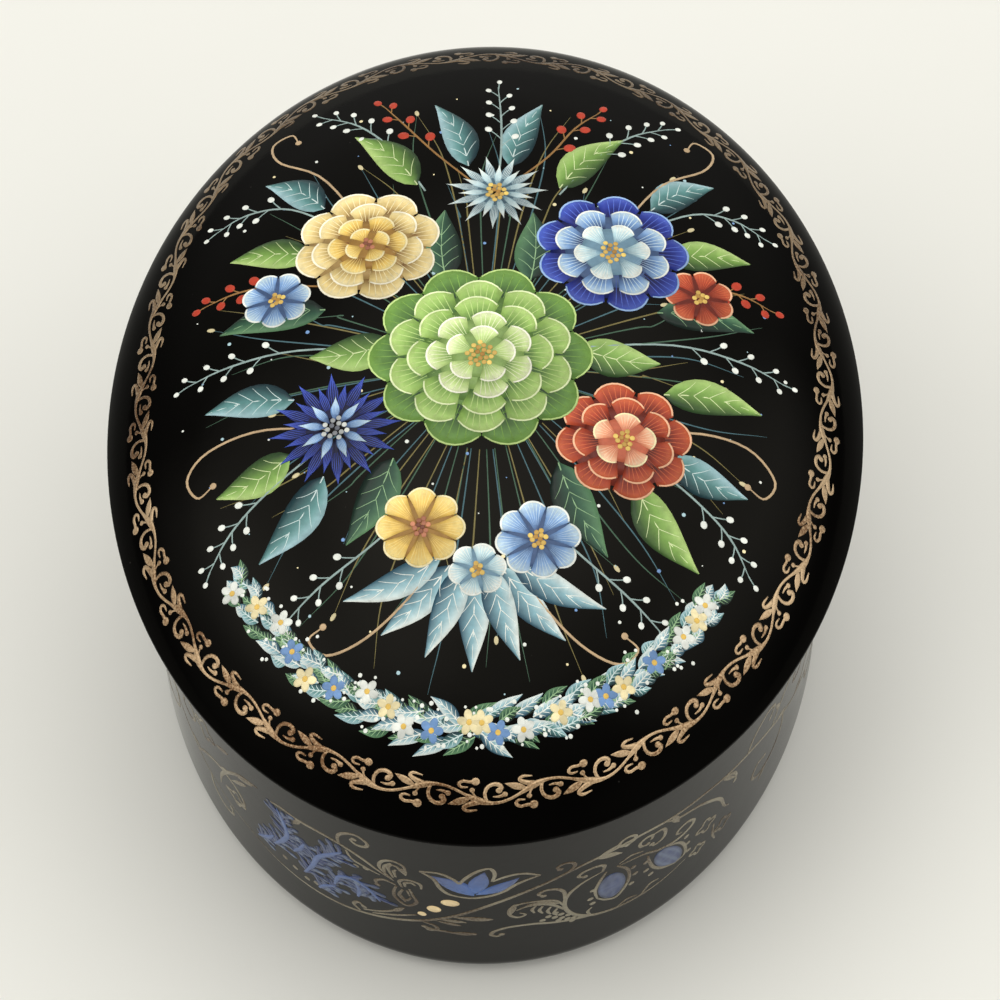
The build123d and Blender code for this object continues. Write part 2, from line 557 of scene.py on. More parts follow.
# Gold vine round the lid. One half repeat is drawn about the place where the stem swings out furthest;
# the next half repeat is the same drawing, turned over.
BORDER_REPEATS = 24
HALF_REPEAT = BORDER_RUN[-1] / BORDER_REPEATS / 2
STEM_SWING = 1.0
VINE_STROKES = {
    "volute": (
        [(-0.73, -0.8), (-0.95, 0.08), (-0.64, 0.9), (0, 1.24), (0.58, 1.14), (0.82, 0.74),
         (0.6, 0.42)],
        [0.34, 0.36, 0.42, 0.46, 0.52, 0.52, 0.34],
    ),
    "bud": ([(-0.1, -0.26), (0.55, -0.26), (1.15, -0.06)], [0.12, 0.3, 0.42]),
    "hooked_leaf": (
        [(-1.6, -0.8), (-2.6, -1.15), (-3.1, -1.54), (-2.7, -1.88), (-1.7, -1.76)],
        [0.7, 0.52, 0.4, 0.36, 0.14],
    ),
    "stalk": ([(-1.75, -0.45), (-2.1, 0.1), (-2.22, 0.5)], [0.2, 0.2, 0.28]),
    "sprig": (
        [(-2.7, 0.9), (-3.4, 0.87), (-3.68, 1.26), (-3.25, 1.62), (-2.6, 1.54), (-1.95, 1.6)],
        [0.16, 0.3, 0.38, 0.36, 0.34, 0.44],
    ),
}
VINE_DABS = [((0.56, 0.46), 0.34), ((1.15, -0.04), 0.3), ((-2.25, 0.55), 0.28), ((-1.9, 1.6), 0.46)]
VINE_LEAF = ((-2.4, -0.4), (-4.7, -1.25), 0.82)


def repeat_vine(grid, lift):
    """Copies of a mark, one for each half repeat, with every second one turned over."""
    k = np.arange(2 * BORDER_REPEATS)
    side = np.where(k % 2, -1.0, 1.0)
    along = grid[None, ..., 0] + (k * HALF_REPEAT)[:, None, None]
    across = grid[None, ..., 1] * side[:, None, None]
    return np.stack([along, across], -1), np.broadcast_to(lift, along.shape)


# Half width of the stem, and how much it swells, how far before each swing and over what length
STEM_HALF = 0.16
STEM_SWELL = 0.23
SWELL_BEFORE = 1.6
SWELL_LENGTH = 1.05
STEM_STEPS = 28  # for each repeat
GOLD_PAINTED_SHADE = 0.35  # share of the gold's colour taken away towards the far end, as painted shade


def vine_stem():
    """The stem: a cosine wave round the whole lid, thickest just before each swing. Its ends meet."""
    along = np.linspace(0, BORDER_RUN[-1], BORDER_REPEATS * STEM_STEPS + 1)
    line = np.stack([along, -STEM_SWING * np.cos(np.pi * along / HALF_REPEAT)], 1)
    before = (along + HALF_REPEAT / 2) % HALF_REPEAT - HALF_REPEAT / 2
    half = STEM_HALF + STEM_SWELL * np.exp(-(((before + SWELL_BEFORE) / SWELL_LENGTH) ** 2))
    tangent = np.gradient(line, axis=0)
    tangent[[0, -1]] = (1, 0)
    grid, lift = ribbon(line, half, tangent)
    return grid[None], lift[None]


def gold_border():
    """The whole vine: stem, volutes, buds, leaves and sprigs. The gold is painted lightest at the near
    end of the lid and darker towards the far end, by a cosine of the way round, as painted shade."""
    marks = [brush_grid(points, widths) for points, widths in VINE_STROKES.values()]
    marks += [dab_grid(centre, radius) for centre, radius in VINE_DABS]
    marks += [leaf_grid(*VINE_LEAF, fullness=0.85)]
    films = []
    for grid, lift in [vine_stem()] + [repeat_vine(*mark) for mark in marks]:
        # painted shade: the gold gets darker towards the far end of the lid, by a cosine of the way
        # round
        turn = 2 * np.pi * grid[..., :1] / BORDER_RUN[-1]
        colour = GOLD_TONE * (1 - GOLD_PAINTED_SHADE + GOLD_PAINTED_SHADE * np.cos(turn))
        films.append(film(lay_on_shoulder, grid, lift, colour))
    add_paint("gold_border", films, "lid", GOLD)


# Scrolls and blue flowers round the wall, in millimetres along the wall and up it. The drawing is made
# once for the near end and comes round three times, and the main stem's ends meet.
WALL_REPEATS = 3
MAIN_STEM = [
    (-31, 13.6), (-26.6, 12.2), (-22, 11.5), (-17, 11.7), (-13.3, 12.6), (-9.8, 13.9), (-5.8, 15.8),
    (-2.2, 18.4), (0, 20.3), (2.9, 22.8), (6.3, 25.3), (9.6, 27.4), (12.5, 29.1), (15.8, 30.1),
    (20.6, 30.7), (25.8, 29.8), (30.8, 29), (34.6, 27.8), (39.4, 26.3), (43.3, 24.4), (47.6, 21.6),
    (52, 18.4), (56.6, 15.8), (61.4, 14.4), (66.2, 13.6),
]
WALL_STEMS = [
    MAIN_STEM,
    [(-9.3, 26.2), (-11.4, 28), (-13.3, 29.7), (-15.8, 31), (-18.7, 31.3), (-22, 30.8), (-24.5, 30.7),
     (-26.3, 29.9), (-26.6, 28.5)],
    [(-28.6, 30.4), (-31.6, 28.6), (-34.4, 25), (-36.4, 21), (-37, 17.4)],
    [(25, 29.6), (26.9, 28.2), (30, 26.8), (32.5, 24.5), (34.2, 22), (35, 18.8), (36, 17.4)],
    [(16.2, 25.3), (13.8, 24.2), (11.9, 22), (11.3, 19.5), (11.6, 17), (12.8, 14.6), (15.2, 12.6),
     (19.2, 11.7), (24.2, 12), (28.4, 13.4)],
    [(18.4, 24.8), (21.7, 24.2), (24, 22.6), (26.7, 21.8), (28.8, 22.4), (29.4, 23.7), (28.3, 24.8),
     (26.9, 24.4), (26.7, 23.4), (27.5, 23)],
]
WALL_CURLS = [
    [(-16.2, 30.8), (-16.3, 33.2), (-15.3, 35.1), (-13.7, 36), (-12.4, 34.9), (-12.6, 33.7),
     (-13.7, 33.2), (-14.5, 33.9), (-14.1, 34.5)],
    [(11.5, 28.5), (12.5, 30), (12.2, 31.2), (11.2, 31.6), (10.4, 31), (10.7, 30.2)],
    [(16.1, 25.2), (16.3, 26.8), (15.1, 27.5), (13.6, 27.2), (13, 26.3), (13.8, 25.7)],
    [(11.3, 20.8), (11.2, 23), (10.3, 24.4), (8.9, 24.8), (8.1, 24), (8.7, 23.2)],
    [(14.6, 12.8), (10.4, 14), (7.5, 15), (4.6, 15), (2.8, 14), (2.3, 12.9), (3, 12.3), (3.6, 12.9)],
    [(22.7, 27.4), (22.9, 28.5), (21.9, 28.8), (21.1, 28.1), (21.3, 27), (22.2, 26.7)],
    [(23, 28.6), (24.4, 28.3), (24.8, 27), (24.5, 25.6), (23.3, 25.1), (22.8, 25.9)],
    [(19.3, 29.9), (20.3, 30.4), (20.4, 31.4), (19.7, 32.1), (18.8, 32), (18.2, 31.2), (18.5, 30.3),
     (19.3, 29.9)],
    [(-9.1, 25.1), (-10.5, 25.5), (-11.6, 24.5), (-11.4, 23.3)],
    [(34.3, 27.8), (36.3, 26.2), (37, 24.4), (36.8, 23.2)],
    [(-5.9, 15.4), (-4.6, 14.8), (-4.2, 13.7), (-5.2, 13.1), (-5.8, 13.9)],
    [(-5.6, 13.9), (-4.4, 13.4), (-3.2, 13.3), (-1.6, 13), (0.2, 13.1)],
    [(-14.1, 12.8), (-14.9, 14), (-14.2, 15.2), (-13.5, 14.4)],
    [(45.2, 23.4), (47.2, 26.4), (50.4, 28.6), (53.6, 28.2), (54.8, 25.8), (53.4, 23.8), (51.4, 24.4),
     (51.6, 26)],
    [(48.6, 20.9), (48.4, 17.2), (46, 14.4), (42.8, 14), (41, 16), (42, 18.2), (43.8, 17.6)],
    [(54.6, 16.9), (57, 20.2), (60.6, 22.8), (64, 22.4), (65.4, 20), (63.8, 18), (61.8, 18.8)],
    [(57.6, 15.4), (58, 12.6), (60, 10.8), (62.2, 11.4), (62, 13)],
    [(39.2, 26.3), (40.6, 29.2), (43.4, 30.6), (45.4, 29.2), (44.4, 27.4)],
]
WALL_LEAF_LINES = [
    [(-9.6, 26.6), (-11, 29), (-10.6, 31.1), (-9.3, 32.1), (-8, 31.4), (-7.7, 29.4)],
    [(-9.3, 27), (-9.9, 29.4), (-9.5, 30.8), (-8.7, 30.6), (-8.4, 29.6)],
    [(-9, 27.4), (-9.2, 29), (-8.9, 29.7)],
    [(-8.3, 24.8), (-8.6, 26.5), (-7.5, 27.5), (-6.1, 27), (-5.9, 25.5)],
    [(-7.9, 25.2), (-7.9, 26.3), (-7.1, 26.8), (-6.6, 26.2)],
    [(-9, 24.8), (-9.4, 22.6), (-9.1, 20.8), (-7.8, 19.4), (-6.6, 21), (-7, 23), (-7.4, 24.8)],
    [(-8.6, 22.4), (-7.9, 21), (-7.2, 22.2)],
    [(-13.6, 13.6), (-10.8, 15.4), (-8.2, 18.3)],
    [(-12.4, 13.6), (-9, 15.6), (-6.6, 17.2)],
    [(-15.3, 30.2), (-14.7, 28.3), (-13.4, 27.6), (-11, 26.6)],
    [(-4.4, 16.8), (-2.4, 17.1), (-0.6, 16.6)],
    [(11.2, 18.8), (10.1, 21), (7.9, 21.9), (5.9, 21.9), (4.7, 20.8), (4.6, 18.8), (5.6, 17.8),
     (6.5, 18.4), (5.8, 19.2)],
    [(11.2, 17.6), (9.6, 20), (7.7, 20.9), (5.9, 20.6)],
    [(8.6, 20.1), (8.2, 19), (8.6, 17.8)],
    [(9.6, 19.4), (9.2, 18.2), (9.6, 17)],
    [(15.4, 29.9), (17.2, 29.6), (18.6, 28.3)],
    [(16.3, 30.2), (17.4, 30.9), (18.2, 31.3)],
    [(18, 25), (19.4, 22.6), (19.8, 20), (19.3, 17.4), (18.1, 15.4), (16.7, 15.9), (15.5, 17.4)],
    [(16.6, 24.6), (15.8, 22.5), (15.2, 20), (15.5, 17.4)],
    [(22.3, 22.9), (22.7, 20.3), (23.3, 18.2), (24.6, 16.2), (26.7, 14.7)],
    [(25, 22.1), (27.1, 20.3), (28.1, 17.9), (28.2, 15.4), (26.7, 14.7)],
    [(18.3, 25.3), (19.9, 26), (21.6, 25.3)],
    [(14.6, 13.2), (14.3, 14.4), (14.8, 15.3)],
    [(18.2, 11.9), (19.6, 12.9), (21, 12.4)],
    [(21.6, 11.9), (22.9, 13.6), (24.2, 13.4)],
    [(10.6, 19.8), (8.9, 21.2), (6.7, 21.4)],
    [(11, 18.2), (9.2, 20.6), (7, 21), (5.4, 20)],
    [(7.8, 20.6), (7.3, 19.6), (7.6, 18.4)],
    [(10.4, 18.4), (10, 17.2), (10.4, 16.2)],
    [(-8.2, 24.2), (-8.7, 22.2), (-7.9, 20.4)],
    [(-7.7, 24.2), (-7.4, 22.6)],
    [(-10.3, 27.2), (-10.4, 29.6), (-9.5, 31.3)],
    [(33.2, 16.2), (33.1, 13.4), (33.6, 11.2)],
]
WALL_TUFTS = [
    ((-21.8, 30.9), (-22.9, 28.6), 0.9), ((25.9, 29.7), (26.9, 26.9), 1.1),
    ((15.2, 30), (18.5, 28.3), 0.9), ((15.6, 30.1), (18.2, 31.4), 0.8),
    ((-8.2, 30.6), (-7.7, 28.6), 0.9), ((5.2, 22), (4.6, 18.6), 0.9), ((2.7, 17.7), (-2.6, 18.2), 1.3),
    ((34.2, 28), (36.9, 24), 0.8), ((-9.6, 16.4), (-8.1, 18.6), 0.8),
    ((-29.4, 29.6), (-33.2, 26.6), 0.8), ((-30.8, 27.4), (-34.2, 23.2), 0.8),
    ((-34, 31), (-37.2, 28.4), 0.9), ((46.6, 22.4), (49.4, 21.2), 1.0), ((52.6, 18), (55.4, 18.4), 1.0),
    ((50.6, 28.4), (52.8, 30.6), 0.9), ((60.8, 22.8), (62.8, 25), 0.9), ((44.6, 14), (42.6, 12), 0.9),
    ((47, 25.6), (45.8, 28.4), 0.9), ((-0.7, 16.8), (-4, 16.9), 0.9), ((-1.2, 15.6), (-4.4, 16.4), 0.8),
    ((0.5, 13.1), (-3, 13.1), 1.1),
]
# Open blossoms drawn with one line: centre and size
WALL_BLOSSOMS = [
    ((31.7, 18.3), 1.3), ((30.4, 13.2), 1.0), ((35, 13.4), 1.2), ((-33.4, 19), 1.3), ((57.6, 28), 1.8),
]
TULIP_LINES = [
    [(-6, 31), (-3.7, 31.3), (-2.1, 30), (-1.3, 28.6)],
    [(-6, 31), (-4.4, 29.4), (-3.7, 27), (-2.8, 25.4), (-1.5, 24.7)],
    [(-1.3, 28.6), (-0.6, 30.4), (0.8, 32.6), (2.3, 33.5), (2.9, 31.8), (2.6, 29.6)],
    [(2.6, 29.6), (4.4, 30.9), (6.3, 31.2), (8.3, 29.9)],
    [(8.3, 29.9), (6.6, 29.1), (5.1, 27.8), (4, 26.4), (2.4, 25.2), (0.2, 24.5), (-1.5, 24.7)],
]
TULIP_PETALS = [
    ((0.4, 25.2), (-4.6, 30.2), 3.0, -0.5), ((0.5, 25.8), (1.7, 32.4), 2.4, 0.1),
    ((0.6, 25.5), (5.8, 30.1), 2.1, -0.35),
]
WALL_BEADS = [
    (20.3, 22), (20.6, 19.7), (20.1, 17.2), (14.9, 20.4), (14.6, 18), (14.9, 16.4), (22.1, 21.2),
    (22.2, 18.6), (22.9, 16.6), (28.6, 17.9), (28.8, 15.4), (28.3, 20.3), (10.2, 17), (10.9, 16.2),
    (10.1, 15.7), (11, 15), (11.8, 15.4), (10.6, 14.5), (11.7, 14.2), (12.5, 14), (12.3, 13.2),
    (13.2, 13.4), (9.3, 16.4), (8.6, 15.6), (-14.1, 26.6), (-12.8, 27), (-15.2, 27.4), (-20.2, 14),
    (-21.6, 13.6), (-23.4, 14.4), (-25, 15.2),
]
# Blue sprays: the main stroke's line, the number of side strokes and their length
WALL_SPRAYS = [
    ([(-26.6, 17), (-25, 20.4), (-24.1, 23.4), (-24.5, 26.4), (-25.4, 29.4)], 15, 2.5),
    ([(-21.8, 15.4), (-20.4, 19.4), (-19.5, 23), (-17.6, 26.2), (-15.9, 28.8)], 17, 2.6),
    ([(-17.4, 17.4), (-16.6, 20.4), (-14.6, 21.9), (-12.6, 20.6), (-11.2, 18.2)], 13, 2.1),
    ([(-14.2, 17), (-13.9, 19.4), (-14.6, 21.6)], 7, 1.8),
    ([(-19.8, 13.2), (-18.8, 15), (-17.2, 17)], 8, 2.0),
    ([(-29.6, 14.8), (-27.8, 17), (-26.6, 19.4)], 8, 2.0),
    ([(-23.4, 19.6), (-22.2, 22), (-21.4, 24.6)], 8, 2.0),
]
# Blue buds: centre, half width, half height, turn and paleness of the streaks
WALL_BUDS = [((17.4, 19.6), 1.85, 3.7, 0.05, 0.35), ((25.5, 18.4), 1.75, 3.9, 0.42, 0.85)]
WALL_DOTS = [((-2.5, 22.5), 1.15, 0.97), ((-4.5, 20), 0.88, 0.97), ((-6, 17.85), 0.56, 0.62)]
# Gold lines: their width, the shares of it at their start and end, and the radius of a dab at the end
WALL_LINES = [
    (WALL_STEMS, 0.6, 0.4, 0.25, 0),
    (WALL_CURLS, 0.56, 0.7, 0.6, 0.4),
    (WALL_LEAF_LINES, 0.5, 0.6, 0.5, 0),
    (TULIP_LINES, 0.55, 0.7, 0.7, 0),
]
BEAD_RADIUS = 0.42
BLOSSOM_LINE = 0.45
COAT = 0.0008  # from one mark of a blue spray to the next
BUD_STEPS = 15


def wall_mark(mark, colour, thin=1.0, raised=0.0):
    """Films of a mark on the wall, one for each time the drawing comes round, with its relief thinned
    by a share and then raised."""
    grid, lift = mark
    starts = np.arange(WALL_REPEATS) * WALL_RUN[-1] / WALL_REPEATS
    grid = grid + np.stack([starts, np.zeros(WALL_REPEATS)], 1)[:, None, None]
    lift = np.broadcast_to(lift * thin + raised, grid.shape[:3])
    return film(lay_on_wall, grid, lift, colour)


def tapered(points, width, start, end):
    """A brush line of about one width, finer at both ends by their shares of it."""
    shares = np.interp(np.linspace(0, 1, len(points)), [0, 0.2, 0.75, 1], [start, 1, 1, end])
    return brush_grid(points, width * shares, steps=4 * len(points))


def wall_spray(points, count, length):
    """A blue spray in four coats: dull ovals beside a line, leaf strokes that leave it to both sides,
    the line itself, and pale dabs near the tips. Lean, length and shade of a stroke swing by sines of
    its number."""
    line, _ = smooth_line(points, np.ones(len(points)), 60)
    ovals, strokes, dabs = [], [], []
    for i in range(2 * count):
        at = int(56 * (i + 0.5) / (2 * count))
        foot, way = line[at], line[at + 2] - line[at]
        lean = 0.45 + 0.65 * math.sin(2.3 * i) ** 2
        turn = math.atan2(way[1], way[0]) + (lean if i % 2 else -lean)
        reach = unit(turn) * length * (0.9 + 0.36 * math.sin(4.1 * i))
        shade = 0.5 + 0.5 * math.sin(2.7 * i + count)
        oval = dab_grid(foot + 0.8 * reach, (0.34 * length, 0.5), turn, 4)
        ovals.append((oval, blend(WALL_DULL_BLUE, WALL_GREY_BLUE, 0.6 * shade)))
        stroke = leaf_grid(foot - 0.15 * reach, foot + reach, 0.62, 0.2 * math.cos(3.7 * i), 0.9, 7, 3)
        strokes.append((stroke, blend(WALL_DEEP_BLUE, WALL_GREY_BLUE, shade)))
        dab = dab_grid(foot + 0.85 * reach, (0.5, 0.26), turn, 4)
        dabs.append((dab, blend(WALL_GREY_BLUE, WALL_PALE_BLUE, shade)))
    middle = (tapered(points, 0.75, 0.4, 0.25), blend(WALL_BLUE, WALL_PALE_BLUE, 0.25))
    return ovals + strokes + [middle] + dabs[::2]


def bud_colours(streak):
    """Colours of a bud: blue patches by two crossing sines, pale streaks along it and dark edges."""
    a, c = square(-1, BUD_STEPS, BUD_STEPS)
    patch = 0.5 + 0.5 * np.sin(4 * a + 5 * c + 2 * np.sin(5 * c)) * np.cos(7 * c - 6 * a + 1)
    pale = streak * (0.5 + 0.5 * np.cos(9 * a + c)) ** 2
    far = np.clip(np.hypot(a, c) - 0.8, 0, 0.4) / 0.4
    colour = blend(blend(WALL_DEEP_BLUE, WALL_GREY_BLUE, patch), WALL_PALE_BLUE, pale)
    return blend(colour, WALL_DULL_BLUE, far)


def blossom(centre, size, steps=33):
    """An open blossom as one closed line: a circle that swells and shrinks four times on its way
    round."""
    turn = np.linspace(0, 2 * np.pi, steps)
    far = size * (1 + 0.28 * np.cos(4 * turn))
    points = np.stack([centre[0] + far * np.cos(turn), centre[1] + far * np.sin(turn)], 1)
    return brush_grid(points, np.full(steps, BLOSSOM_LINE), 2 * steps)


def wall_paint():
    """Gold scrolls, tulip and beads, and the blue petals, buds and sprays between them."""
    gold = []
    for strokes, width, start, end, dab in WALL_LINES:
        gold += [tapered(points, width, start, end) for points in strokes]
        gold += [dab_grid(points[-1], dab) for points in strokes if dab]
    gold += [leaf_grid(*tuft) for tuft in WALL_TUFTS]
    gold += [dab_grid(centre, BEAD_RADIUS) for centre in WALL_BEADS]
    gold += [blossom(*flower) for flower in WALL_BLOSSOMS]
    # the wall's gold lines carry painted shade and a painted reflection of the floor
    films = [wall_mark(mark, WALL_GOLD_PAINTED_SHADE_AND_HAZE) for mark in gold]
    add_paint("wall_gold", films, "body", GOLD)

    films = [wall_mark(dab_grid(centre, (wide, high)), DOT_CREAM) for centre, wide, high in WALL_DOTS]
    shade = np.linspace(0, 1, 9)[:, None]
    for petal in TULIP_PETALS:
        films.append(wall_mark(leaf_grid(*petal, 0.9), blend(TULIP_BLUE, TULIP_TIP, shade), 0.5))
    for spray in WALL_SPRAYS:
        for i, (mark, colour) in enumerate(wall_spray(*spray)):
            films.append(wall_mark(mark, colour, 0.4, COAT * i))
    for centre, wide, high, turn, streak in WALL_BUDS:
        bud = dab_grid(centre, (wide, high), turn, BUD_STEPS)
        films.append(wall_mark(bud, bud_colours(streak), 0.6))
    add_paint("wall_blue", films, "body", COLOUR)


# Bouquet on the lid, in plan, in millimetres. It lies inside the gold vine, on the black ground.
LAYER = 0.003
LIGHT_FROM = math.radians(125)
WHITE = tone(236, 240, 232)
CREAM = tone(247, 233, 184)
YELLOW = tone(228, 190, 96)
OCHRE = tone(150, 100, 42)
LIME = tone(190, 216, 136)
GREEN = tone(124, 164, 78)
MOSS = tone(40, 66, 34)
ICE = tone(176, 208, 216)
TEAL = tone(92, 142, 140)
DEEP_TEAL = tone(18, 46, 54)
SKY = tone(120, 158, 208)
NAVY = tone(20, 28, 66)
RUST = tone(164, 62, 38)
DEEP_RUST = tone(66, 16, 13)
SALMON = tone(226, 150, 114)

# Petals: rounding of the tip, height to width of a ring, light on the lit side, step to the next petal
PETAL_DOME = 0.16
PETAL_SQUASH = 0.93
PETAL_LIGHT = 0.2
PETAL_STEP = 0.0012
# Streaks of a petal: places across it and half width
STREAK_PLACES = (-0.62, -0.34, -0.06, 0.24, 0.52)
STREAK_HALF = 0.055
MIDDLE = np.array([0, 1, 0])
RING_LEVELS = 7  # layers from one ring of petals to the next
LEAF_FULLNESS = 0.72
VEIN_STARTS = (0.14, 0.3, 0.46, 0.62)
# Turn from one dot of a spiral to the next
HEART_TURN = 2.4
DUST_TURN = 2.39996


def lid_mark(mark, colour, level=0, thin=1.0, raised=0.0):
    """Film of one mark on the lid at a level in the layers of paint, with its relief thinned by a
    share and then raised."""
    grid, lift = mark
    return film(lay_on_lid, grid[None], thin * lift[None] + raised + level * LAYER, colour)


def fan_swell(share):
    """Width of a rounded petal along its length: it opens quickly from a narrow claw."""
    return 0.25 + 0.75 * share**0.55


def blade_swell(share):
    """Width of a pointed petal along its length."""
    return np.maximum(np.sin(np.pi * share**0.8), 0.02)


def petal_ring(centre, turns, start, reach, spread, swell, share, side):
    """Petals round a centre: each goes out by its share from start to reach, and opens sideways by
    its spread times its swell; the tip is rounded by the square of the sideways place."""
    angle = turns[:, None, None] + spread * swell(share)[None, :, None] * side[None, None, :]
    far = start + (reach - start) * share[None, :, None] * (1 - PETAL_DOME * side**2)[None, None, :]
    x, y = centre[0] + far * np.cos(angle), centre[1] + PETAL_SQUASH * far * np.sin(angle)
    return np.stack([x, y], -1)


def petal_films(centre, level, count, start, reach, spread, turn, swell, tones, covered):
    """A ring of petals, each with fine streaks, and with a light rim if it is rounded. A petal is
    darkest where the next ring covers it and lightest at its tip."""
    turns = turn + 2 * np.pi * np.arange(count) / count
    lit = 1 + PETAL_LIGHT * np.cos(turns - LIGHT_FROM)[:, None, None, None]
    order = (level * LAYER + PETAL_STEP * np.arange(count))[:, None, None]

    def part(along, across, lift, colour):
        ring = petal_ring(centre, turns, start, reach, spread, swell, along, across)
        return film(lay_on_lid, ring, order + lift, lit * colour)

    share, side = np.linspace(0, 1, 9), np.linspace(-1, 1, 7)
    seen = (share - 0.8 * covered) / (1 - 0.8 * covered)
    shade = np.clip(seen[:, None] * (1 - 0.25 * np.abs(side)) + 0.08 * side, 0, 1)
    relief = 0.006 + 0.008 * (1 - side**2) * np.sin(np.pi * share)[:, None]
    yield part(share, side, relief, blend_three(tones, shade, 0.55))
    ridge = np.tile(0.015 + 0.002 * MIDDLE, (5, 1))
    bright = blend(tones[1], tones[2], np.linspace(0.2, 1.15, 5))[:, None]
    for place in STREAK_PLACES:
        fine = place + np.array([-1, 0, 1]) * STREAK_HALF / (spread * reach * 0.8)
        yield part(np.linspace(0.3, 0.93, 5), fine, ridge, bright)
    if swell is fan_swell:
        edge = 1 - np.array([0.13, 0.06, 0.0]) / reach * 2.2
        ridge = np.tile(0.011 + 0.004 * MIDDLE[:, None], (1, 9))
        yield part(edge, np.linspace(-0.93, 0.93, 9), ridge, tones[3])


def heart_films(centre, level, count, radius, tones):
    """The heart of a flower: dots set on a spiral, darker towards the middle."""
    for i in range(count):
        far = radius * math.sqrt((i + 0.5) / count)
        colour = blend(tones[0], tones[1], (far / radius) * (0.75 + 0.25 * math.sin(5 * i)))
        yield lid_mark(dab_grid(centre + far * unit(HEART_TURN * i), 0.3), colour, level)


def leaf_films(level, base, tip, width, bend, tones):
    """A leaf: one half lit and one in shade, with a fine midrib and side veins."""
    leaf = (base, tip, width, bend, LEAF_FULLNESS)
    shade = np.clip(0.25 + 0.35 * np.linspace(0, 1, 11)[:, None] + 0.45 * np.linspace(-1, 1, 7), 0, 1)
    yield lid_mark(leaf_grid(*leaf, 11, 7), blend_three(tones, shade), level, 0.6)
    rib = leaf_place(*leaf, np.array([0.0, 0.35, 0.7, 0.98]), np.zeros(4))
    veins = [(rib, [0.16, 0.13, 0.1, 0.04])]
    along, aside = np.array([0, 0.1, 0.17]), np.array([0, 0.42, 0.82])
    for start in VEIN_STARTS:
        for flank in (-1, 1):
            veins.append((leaf_place(*leaf, start + along, flank * aside), [0.09, 0.075, 0.03]))
    for vein in veins:
        yield lid_mark(brush_grid(*vein, 6), tones[3], level, 0.3, 0.01)


def spray_films(points, count, length, radius, stem, fruit):
    """A spray: a curved stem with short stalks to both sides, each with a dot at its end."""
    yield lid_mark(tapered(points, 0.26, 0.9, 0.35), stem)
    line, _ = smooth_line(points, np.ones(len(points)), 60)
    for i in range(count):
        at = int(59 * (0.42 + 0.56 * i / (count - 1)))
        way = line[at + 1] - line[at]
        turn = math.atan2(way[1], way[0])
        lean = turn + (0.75 if i % 2 else -0.75) * (0.2 if i == count - 1 else 1)
        end = line[at] + unit(lean) * length * (1 - 0.35 * i / count)
        knee = (line[at] + end) / 2 + 0.1 * unit(turn)
        yield lid_mark(brush_grid([line[at], knee, end], [0.16, 0.14, 0.12], 5), stem)
        size = radius * (1 - 0.3 * i / count)
        yield lid_mark(dab_grid(end, (size * 1.2, size), lean), fruit, 1)


LEAF_TONES = {
    "green": (MOSS, GREEN, LIME, tone(222, 236, 178)),
    "teal": (DEEP_TEAL, TEAL, ICE, tone(214, 232, 230)),
    "ice": (tone(40, 74, 92), tone(140, 182, 192), WHITE, WHITE),
    "dark": (tone(12, 28, 22), tone(44, 82, 62), tone(104, 146, 104), tone(150, 186, 140)),
}
BOUQUET_LEAVES = [
    ("teal", (2, 29), (5.5, 40), 4.2, 0.6), ("teal", (-3, 29), (-7.5, 39.5), 4.2, -0.8),
    ("green", (8, 26), (15.5, 35), 4.6, 0.9), ("green", (-9, 26), (-17, 34.5), 4.6, -0.9),
    ("teal", (19, 24), (26.5, 29.5), 4.4, 0.8), ("teal", (-20, 23), (-27.5, 28), 4.4, -0.8),
    ("green", (21, 17), (31, 18.5), 4.4, 0.6), ("green", (-21, 16), (-31, 16.5), 4.4, -0.6),
    ("dark", (20, 9), (31.5, 8.5), 4.6, 0.8), ("dark", (-19, 8), (-31.5, 6), 4.8, -0.8),
    ("green", (21, -2), (32.5, -2.5), 4.6, 0.7), ("teal", (-22, -4), (-32.5, -4.5), 4.4, -0.6),
    ("teal", (22, -10), (31, -13.5), 4.4, -0.7), ("green", (-22, -11), (-30.5, -15.5), 4.6, 0.8),
    ("green", (18, -14), (25.5, -23.5), 4.8, -0.9), ("teal", (-18, -14), (-25, -24), 4.6, 0.9),
    ("dark", (9, -12), (15, -23), 4.8, -0.6), ("dark", (-10, -12), (-15, -22.5), 4.8, 0.6),
    ("ice", (-4, -24), (-15, -29), 3.6, 0.9), ("ice", (4, -24), (15, -29), 3.6, -0.9),
    ("ice", (-3, -25), (-10.5, -33), 3.6, 0.6), ("ice", (3, -25), (10.5, -33), 3.6, -0.6),
    ("ice", (-1.5, -25), (-5.4, -35.5), 3.6, 0.3), ("ice", (1.5, -25), (5.4, -35.5), 3.6, -0.3),
    ("ice", (0, -25), (0, -37), 3.8, 0), ("dark", (-5, 12), (-5.5, 22), 5, 0.5),
    ("dark", (5, 12), (5, 22), 5, -0.5), ("green", (-11, 3), (-20.5, 1.5), 5, 0.6),
    ("green", (11, 3), (20.5, 2), 5, -0.6),
]
